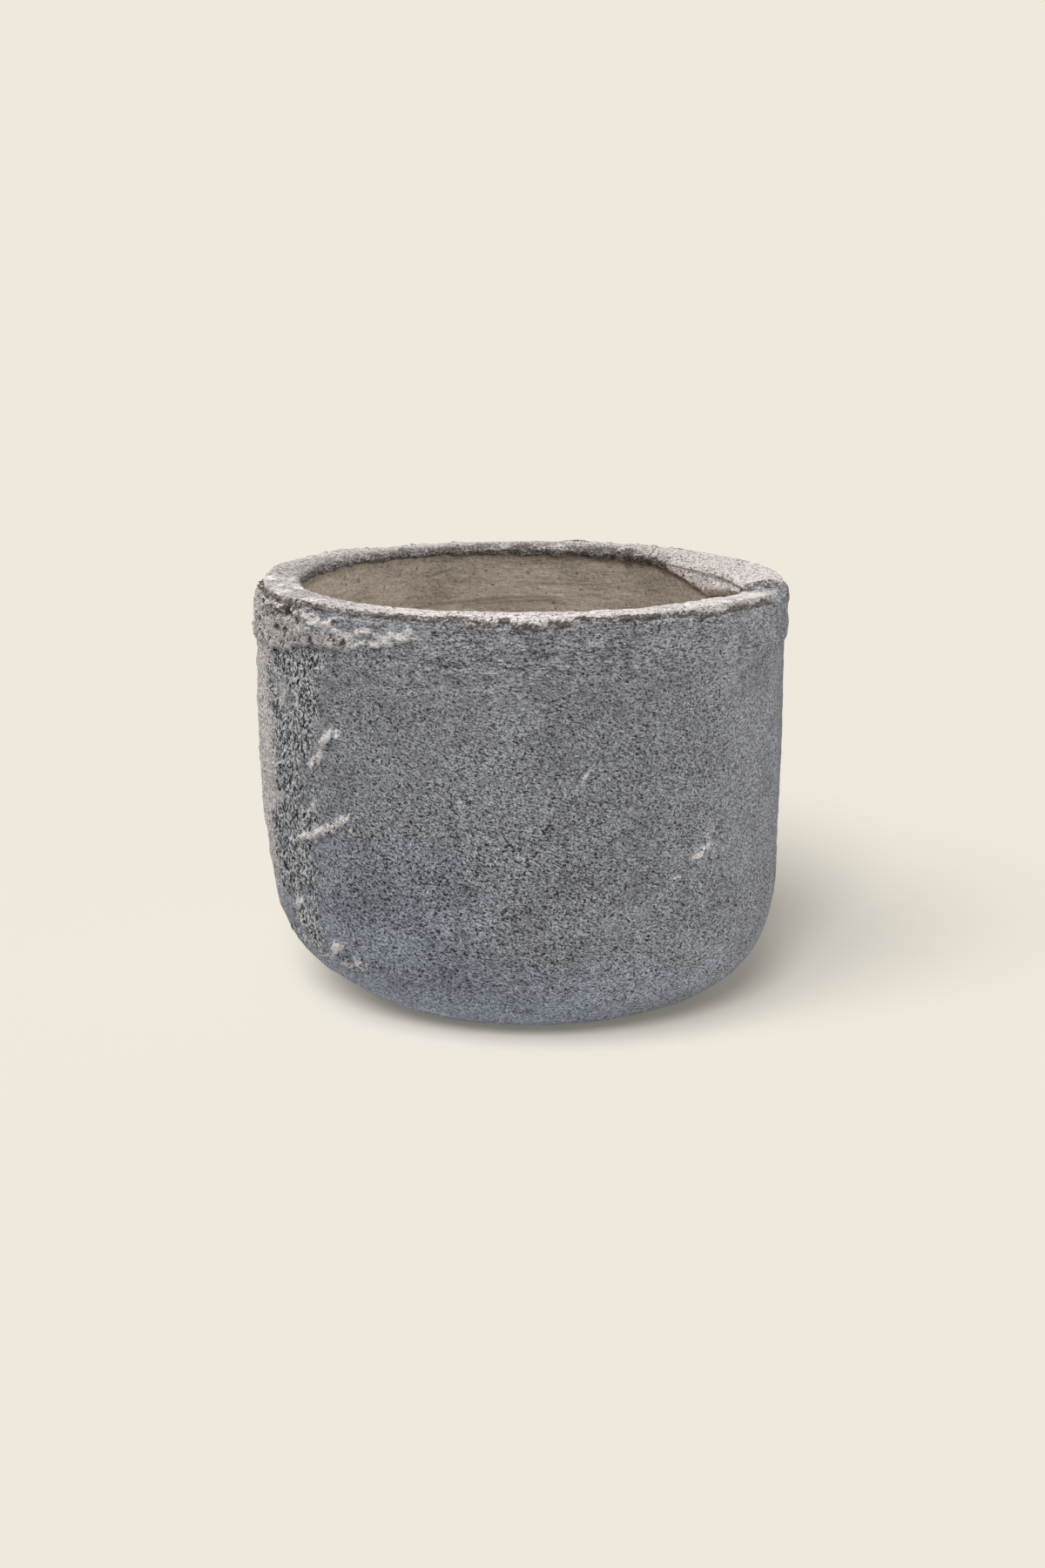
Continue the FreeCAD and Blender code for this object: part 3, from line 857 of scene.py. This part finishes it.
def brighten(colour, factor):
    """A colour made lighter or darker by a number that may vary."""
    return add_node("VectorMath", {0: colour, "Scale": factor}, operation="SCALE")


def cloud(place, scale, detail=2, distortion=0):
    """Noise with so many lumps a metre."""
    inputs = {"Vector": place, "Scale": scale, "Detail": detail, "Distortion": distortion}
    return add_node("TexNoise", inputs, "Fac")


def colours(value, stops):
    """A colour for each value, mixed between stops of (value, colour)."""
    colour = add_node("ValToRGB", {"Fac": value}, "Color")
    band = colour.node.color_ramp
    while len(band.elements) < len(stops):
        band.elements.new(0.5)
    for element, (position, shade) in zip(band.elements, stops):
        element.position = position
        element.color = (*shade, 1)
    return colour


def painted(name):
    """An attribute that was stored on the mesh."""
    return add_node("Attribute", {}, "Fac", attribute_name=name)


def own_place(drawn_out=(1, 1, 1), turn=(0, 0, 0)):
    """The place on the piece itself, turned, and then drawn out along each way."""
    inputs = {"Vector": add_node("TexCoord", {}, "Object"), "Scale": drawn_out, "Rotation": turn}
    return add_node("Mapping", inputs, vector_type="TEXTURE")


# %% Helpers for groups and materials
def new_group(name, numbers, result):
    """Open a group that takes a place and some numbers: the group, its inputs and its result's end."""
    group = bpy.data.node_groups.new(name, "ShaderNodeTree")
    open_tree(group)
    group.interface.new_socket("Place", in_out="INPUT", socket_type="NodeSocketVector")
    for label in numbers:
        group.interface.new_socket(label, in_out="INPUT", socket_type="NodeSocketFloat")
    group.interface.new_socket(result, in_out="OUTPUT", socket_type="NodeSocketFloat")
    source = group.nodes.new("NodeGroupInput").outputs
    end = group.nodes.new("NodeGroupOutput").inputs[result]
    return group, [source[label] for label in ("Place", *numbers)], end


def place_group(group, *values):
    """Put a group in, feed its inputs in order, and hand back its result."""
    return add_node("Group", dict(enumerate(values)), node_tree=group)


def new_material(name, roughness, shine=0.5):
    """Open a new material: the material and its shader's inputs."""
    material = bpy.data.materials.new(name)
    material.use_nodes = True
    open_tree(material.node_tree)
    shader = tree.nodes["Principled BSDF"].inputs
    shader["Roughness"].default_value = roughness
    shader["Specular IOR Level"].default_value = shine
    return material, shader


def relief(shader, height):
    """Bump the surface by a height in metres."""
    feed(shader["Normal"], add_node("Bump", {"Distance": 1, "Height": height}))


def dress(piece, material):
    """Give a piece one material."""
    piece.data.materials.clear()
    piece.data.materials.append(material)


# %% [markdown]
# Both cements are sand bound by paste, with holes left by air, so these are node
# groups. The sand mixes two sizes of noise. The air holes are the peaks of a
# noise with jagged edges: the higher the water line, the fewer and smaller.

# %% Node groups for sand and air holes
HOLE_SLOPE = 0.045

sand, (spot, grains), tone_end = new_group("sand", ["Grains a metre"], "Tone")
fine_sand = cloud(spot, grains)
coarse_sand = cloud(spot, product(grains, 0.42), 1)
both_sands = blend_of((fine_sand, 0.65), (coarse_sand, 0.35))
feed(tone_end, stretch(both_sands, 0.32, 0.68))

holes, (spot, count, water), mask_end = new_group("air_holes", ["Holes a metre", "Water line"], "Mask")
peaks = cloud(spot, count, 1.6, 0.35)
feed(mask_end, stretch(peaks, water, calc("ADD", water, HOLE_SLOPE)))

# %% [markdown]
# The coarse concrete is a salt and pepper of dark and pale sand over slow cloudy
# patches. It was pressed on in strokes that fall to the right, so the noise is
# turned and drawn out. The pale mortar has the same sand in a lighter range.

# %% Coarse concrete: tones
STROKE_TILT = 0.36
WATER_LINE = 0.604
SKY_TINT = (0.925, 0.975, 1.06, 1)
HOLE_SHADE_COLOUR = (0.036, 0.033, 0.034, 1)
CREASE_SHADE_COLOUR = (0.07, 0.064, 0.066, 1)
SHADE_AND_BAND_COLOUR = (0.105, 0.08, 0.073, 1)

concrete, shader = new_material("rough_grey_concrete", roughness=0.93, shine=0.2)
place = own_place()
slanted = own_place(drawn_out=(2, 2, 1), turn=(0, STROKE_TILT, 0))
level = own_place(drawn_out=(3.2, 3.2, 1), turn=(0, 0.06, 0))
salt = place_group(sand, slanted, 860)
level_salt = place_group(sand, level, 760)
salt = stretch(painted("level_strokes"), 0, 1, salt, level_salt)
speck = place_group(sand, place, 1150)
crumb = place_group(sand, place, 260)
tone = blend_of((salt, 0.46), (speck, 0.46), (crumb, 0.08))
# The darkest and palest flecks of both ranges are partly painted shade and highlight of the grain's
# relief.
grey = colours(tone, [(0.16, (0.03, 0.03, 0.034)), (0.35, (0.196, 0.198, 0.209)),
                      (0.5, (0.396, 0.399, 0.42)), (0.65, (0.67, 0.672, 0.692)),
                      (0.84, (0.92, 0.92, 0.93))])
mortar = colours(tone, [(0.14, (0.19, 0.168, 0.16)), (0.35, (0.4, 0.366, 0.351)),
                        (0.5, (0.515, 0.476, 0.458)), (0.66, (0.625, 0.589, 0.568)),
                        (0.86, (0.745, 0.711, 0.691))])

# %% Coarse concrete: where each tone lies
patches = stretch(cloud(place, 22, 3), 0.32, 0.68, 0.86, 1.12)
torn = calc("SUBTRACT", cloud(place, 360, 4), 0.5)
pale_here = stretch(blend_of((painted("pale"), 1), (torn, 1.2)), 0.4, 0.51)
# Painted light lightens the colour where it lies.
painted_light_scale = calc("ADD", product(painted("painted_light"), 0.42), 1)
# The painted skylight tint turns the grey bluer where it lies.
sky_tinted_grey = mix(painted("painted_sky_tint"), grey, SKY_TINT, "MULTIPLY")
surface = mix(pale_here, brighten(sky_tinted_grey, patches), mortar)
surface = brighten(surface, painted_light_scale)

# %% Coarse concrete: painted sun on the speckled strip
flakes = place_group(sand, own_place(drawn_out=(1, 1, 1.5)), 400)
# Painted sunlight and shade on the crumbs: white tops among near-black hollows.
sun_speckle_colours = colours(flakes, [(0.26, (0.036, 0.039, 0.046)), (0.42, (0.225, 0.234, 0.25)),
                           (0.52, (0.6, 0.612, 0.632)), (0.59, (1, 1, 1))])
sun_speckle_here = stretch(blend_of((painted("painted_sun_speckle"), 1), (torn, 2.4)), 0.36, 0.66)
surface = mix(sun_speckle_here, surface, sun_speckle_colours)

# %% Coarse concrete: air holes, creases and stains
line = blend_of((painted("dense"), -0.035), (painted("smooth"), 0.1), (pale_here, 0.03))
line = calc("ADD", line, WATER_LINE)
small_holes = place_group(holes, slanted, 540, line)
higher = calc("ADD", line, stretch(pale_here, 0, 1, 0.065, 0.002))
large_holes = place_group(holes, place, 260, higher)
open_holes = calc("MAXIMUM", small_holes, large_holes)
hole_depth = stretch(pale_here, 0, 1, 0.92, 0.88)
# Painted shade fills the air holes.
surface = mix(product(open_holes, hole_depth), surface, HOLE_SHADE_COLOUR)
# Thin creases where the strokes folded the mortar, dented and filled with painted shade.
folds = calc("ABSOLUTE", calc("SUBTRACT", cloud(level, 95, 3, 0.6), 0.5))
folded = stretch(cloud(place, 34, 2), 0.47, 0.56)
folded = product(folded, stretch(painted("level_strokes"), 0, 1, 0.25, 1))
creases = product(stretch(folds, 0, 0.022, 1, 0), folded)
creases = product(creases, stretch(pale_here, 0, 1, 1, 0.2))
surface = mix(product(creases, 0.42), surface, CREASE_SHADE_COLOUR)
# Painted shade, with the browner band inside the rim, darkens the colour where the attribute lies.
shade_and_band_here = stretch(blend_of((painted("painted_shade_and_band"), 1), (torn, 1.8)), 0.3, 0.74, 0, 0.9)
shade_and_band_here = product(shade_and_band_here, stretch(painted("painted_shade_and_band"), 0.05, 0.3))
surface = mix(shade_and_band_here, surface, SHADE_AND_BAND_COLOUR)
feed(shader["Base Color"], surface)

# %% Coarse concrete: relief
drags = product(cloud(level, 120, 2), painted("level_strokes"))
heights = blend_of((salt, 0.0008), (speck, 0.0004), (crumb, 0.0007), (open_holes, -0.0014),
                   (cloud(place, 75, 2), 0.0016), (drags, 0.002), (creases, -0.001), (flakes, 0.0005))
heights = calc("ADD", heights, product(pale_here, product(crumb, 0.0014)))
crumbly = blend_of((crumb, 0.0036), (flakes, 0.0026))
heights = calc("ADD", heights, product(painted("rough"), crumbly))
relief(shader, heights)
dress(pot, concrete)

# %% [markdown]
# The tan cement's colour drifts slowly. Faint level lines show where the trowel
# ran, each with a painted shadow line below it, and only small, scattered air
# holes are left, filled with painted shade.

# %% Smooth cement
PIN_WATER_LINE = 0.67
PIT_AND_LINE_SHADE_COLOUR = (0.17, 0.135, 0.1, 1)
WRAP_SHADE_COLOUR = (0.2, 0.16, 0.135, 1)

cement, shader = new_material("trowelled_tan_cement", roughness=0.85, shine=0.25)
place = own_place()
level_lines = cloud(own_place(drawn_out=(8, 8, 1)), 150, 3)
drift = cloud(own_place(drawn_out=(1.8, 1.8, 1)), 26, 4)
grain = place_group(sand, own_place(drawn_out=(3, 3, 1), turn=(0, 0.08, 0)), 560)
fine = place_group(sand, place, 760)
tan_tone = blend_of((drift, 0.4), (level_lines, 0.2), (grain, 0.2), (fine, 0.2))
tan = colours(tan_tone, [(0.3, (0.212, 0.181, 0.142)), (0.5, (0.478, 0.418, 0.342)),
                         (0.7, (0.71, 0.635, 0.537))])
pin_holes = place_group(holes, place, 210, PIN_WATER_LINE)
# Painted shade in the pin holes, and the painted shadow lines below the trowel lines.
marks = calc("MAXIMUM", product(pin_holes, 0.7), product(painted("line"), 0.75))
coat = mix(marks, tan, PIT_AND_LINE_SHADE_COLOUR)
# The painted shade below the wrap's edge, with a ragged lower edge.
ragged = calc("SUBTRACT", cloud(place, 300, 4), 0.5)
shade_below_wrap = stretch(blend_of((painted("shade_below_wrap"), 1), (ragged, 2)), 0.35, 1, 0, 0.55)
shade_below_wrap = product(shade_below_wrap, stretch(painted("shade_below_wrap"), 0, 0.2))
feed(shader["Base Color"], mix(shade_below_wrap, coat, WRAP_SHADE_COLOUR))
relief(shader, blend_of((level_lines, 0.0012), (grain, 0.0004), (marks, -0.0006)))
for piece in (lining, screed):
    dress(piece, cement)

# %% [markdown]
# The drain's plastic and the rubber of bung and pads are plain moulded goods
# with a thin cement dust, more on what faces up.

# %% Node group for cement dust
dust, (spot,), mask_end = new_group("cement_dust", [], "Mask")
facing = add_node("NewGeometry", {}, "Normal")
upward = stretch(add_node("SeparateXYZ", {"Vector": facing}, "Z"), -0.2, 1, 0.06, 0.28)
cloudy = stretch(cloud(spot, 130, 4), 0.28, 0.74)
feed(mask_end, product(upward, cloudy))

# %% Plastic and rubber
DUST_COLOUR = (0.5, 0.46, 0.4, 1)
LIGHTER = 1.7


def moulded(name, colour, roughness):
    """Moulded plastic or rubber with a fine grain and cement dust."""
    material, shader = new_material(name, roughness)
    place = own_place()
    grain = cloud(place, 900, 2)
    shade = stretch(cloud(place, 60, 2), 0.3, 0.7)
    light = tuple(channel * LIGHTER for channel in colour)
    body = mix(shade, (*colour, 1), (*light, 1))
    dusty = place_group(dust, place)
    feed(shader["Base Color"], mix(dusty, body, DUST_COLOUR))
    feed(shader["Roughness"], stretch(dusty, 0, 0.6, roughness, 0.95))
    relief(shader, product(grain, 0.00006))
    return material


dress(nodes["drain_sleeve"], moulded("dusty_plastic", (0.03, 0.031, 0.034), 0.42))
dress(nodes["drain_plug"], moulded("dusty_plug_rubber", (0.012, 0.012, 0.013), 0.55))
pad_rubber = moulded("dusty_pad_rubber", (0.01, 0.01, 0.01), 0.65)
for number in range(1, 5):
    dress(nodes[f"foot_pad_{number}"], pad_rubber)

# %% [markdown]
# A plain pale floor runs to the horizon, under a plain world. Both show the same
# backdrop colour to the camera, so they meet without a line. Part of the floor's
# brightness is its own, which keeps its shadow soft. Light that bounces meets a
# darker floor, because a pale one would light the pot from below.

# %% Floor and world
BACKDROP = (0.863, 0.814, 0.723, 1)
BOUNCE_COLOUR = (0.42, 0.42, 0.42, 1)
FLOOR_GLOW = 0.2
WORLD_LEVEL = 0.2
FLOOR_SIZE = 80


def seen_directly():
    """1 for what the camera, a reflection or clear material sees, and 0 for bounced light."""
    rays = tree.nodes.new("ShaderNodeLightPath").outputs
    seen = calc("MAXIMUM", rays["Is Camera Ray"], rays["Is Glossy Ray"])
    return calc("MAXIMUM", seen, rays["Is Transmission Ray"])


def open_empty(owner):
    """Open a material's or a world's tree and clear it."""
    owner.use_nodes = True
    open_tree(owner.node_tree)
    tree.nodes.clear()


def show(kind, result):
    """Feed the tree's end node."""
    feed(tree.nodes.new("ShaderNodeOutput" + kind).inputs["Surface"], result)


floor = new_plane("studio_floor", FLOOR_SIZE)
floor_material = bpy.data.materials.new("studio_floor")
open_empty(floor_material)
seen = seen_directly()
dimmed = tuple(channel * (1 - FLOOR_GLOW) for channel in BACKDROP[:3]) + (1,)
matt = add_node("BsdfDiffuse", {"Color": mix(seen, BOUNCE_COLOUR, dimmed)})
glow = add_node("Emission", {"Color": BACKDROP, "Strength": product(seen, FLOOR_GLOW)})
show("Material", add_node("AddShader", {0: matt, 1: glow}))
dress(floor, floor_material)

world = bpy.data.worlds.new("studio")
bpy.context.scene.world = world
open_empty(world)
lighting = (WORLD_LEVEL,) * 3 + (1,)
sky = mix(seen_directly(), lighting, BACKDROP)
show("World", add_node("Background", {"Color": sky}))

# %% [markdown]
# Soft lamps do the rest. The key lamp stands high behind the pot on the left and
# brightens the rim and the left edge. Two in front keep the wall in even light
# that still shows its relief. The floor has its own: one from the left lays the
# soft shadow to the right, and a lower one in front reaches under the foot. The
# tables give the turn and height that each comes from, its level and its spread.

# %% Lamps
FLOOR_SIDE_SHARE = 0.44
POT_LAMPS = {"key_lamp": ((125, 50), 0.55, 10),
             "front_left_lamp": ((-165, 48), 0.455, 20),
             "front_right_lamp": ((-45, 45), 0.44, 24)}
FLOOR_LAMPS = {"floor_side_lamp": ((235, 50), FLOOR_SIDE_SHARE, 40),
               "floor_front_lamp": ((262, 35), 1 - WORLD_LEVEL - FLOOR_SIDE_SHARE, 20)}


def soft_sun(name, come_from, level, spread, receivers):
    """A sun lamp from a turn and height in degrees, which lights only the receivers.
    A level of 1 shows a colour that faces the lamp as it is written."""
    turn, height = (math.radians(angle) for angle in come_from)
    towards = -Vector((math.cos(height) * math.cos(turn), math.cos(height) * math.sin(turn),
                       math.sin(height)))
    bpy.ops.object.light_add(type="SUN", rotation=towards.to_track_quat("-Z", "Y").to_euler())
    lamp = bpy.context.object
    lamp.name = name
    lamp.data.energy = level * math.pi
    lamp.data.angle = math.radians(spread)
    linked = bpy.data.collections.new(name + "_lights")
    for receiver in receivers:
        linked.objects.link(receiver)
    lamp.light_linking.receiver_collection = linked


pieces = [pot, lining, screed] + list(nodes.values())
for name, (come_from, level, spread) in POT_LAMPS.items():
    soft_sun(name, come_from, level, spread, pieces)
for name, (come_from, share, spread) in FLOOR_LAMPS.items():
    soft_sun(name, come_from, share / math.sin(math.radians(come_from[1])), spread, [floor])

# %% [markdown]
# The camera stands where the photographer stood: 3.1 m away, 0.94 m up, looking
# down by 12.7 degrees, with a long lens that keeps the pot's sides upright.

# %% Camera
CAMERA_PLACE = (-0.001, -3.124, 0.938)
CAMERA_PITCH = 0.221
LENS = 64.86
SENSOR_WIDTH = 36

bpy.ops.object.camera_add(location=CAMERA_PLACE, rotation=(math.radians(90) - CAMERA_PITCH, 0, 0))
camera = bpy.context.object
camera.data.lens = LENS
camera.data.sensor_width = SENSOR_WIDTH
bpy.context.scene.camera = camera
bpy.context.scene.view_settings.view_transform = "Standard"
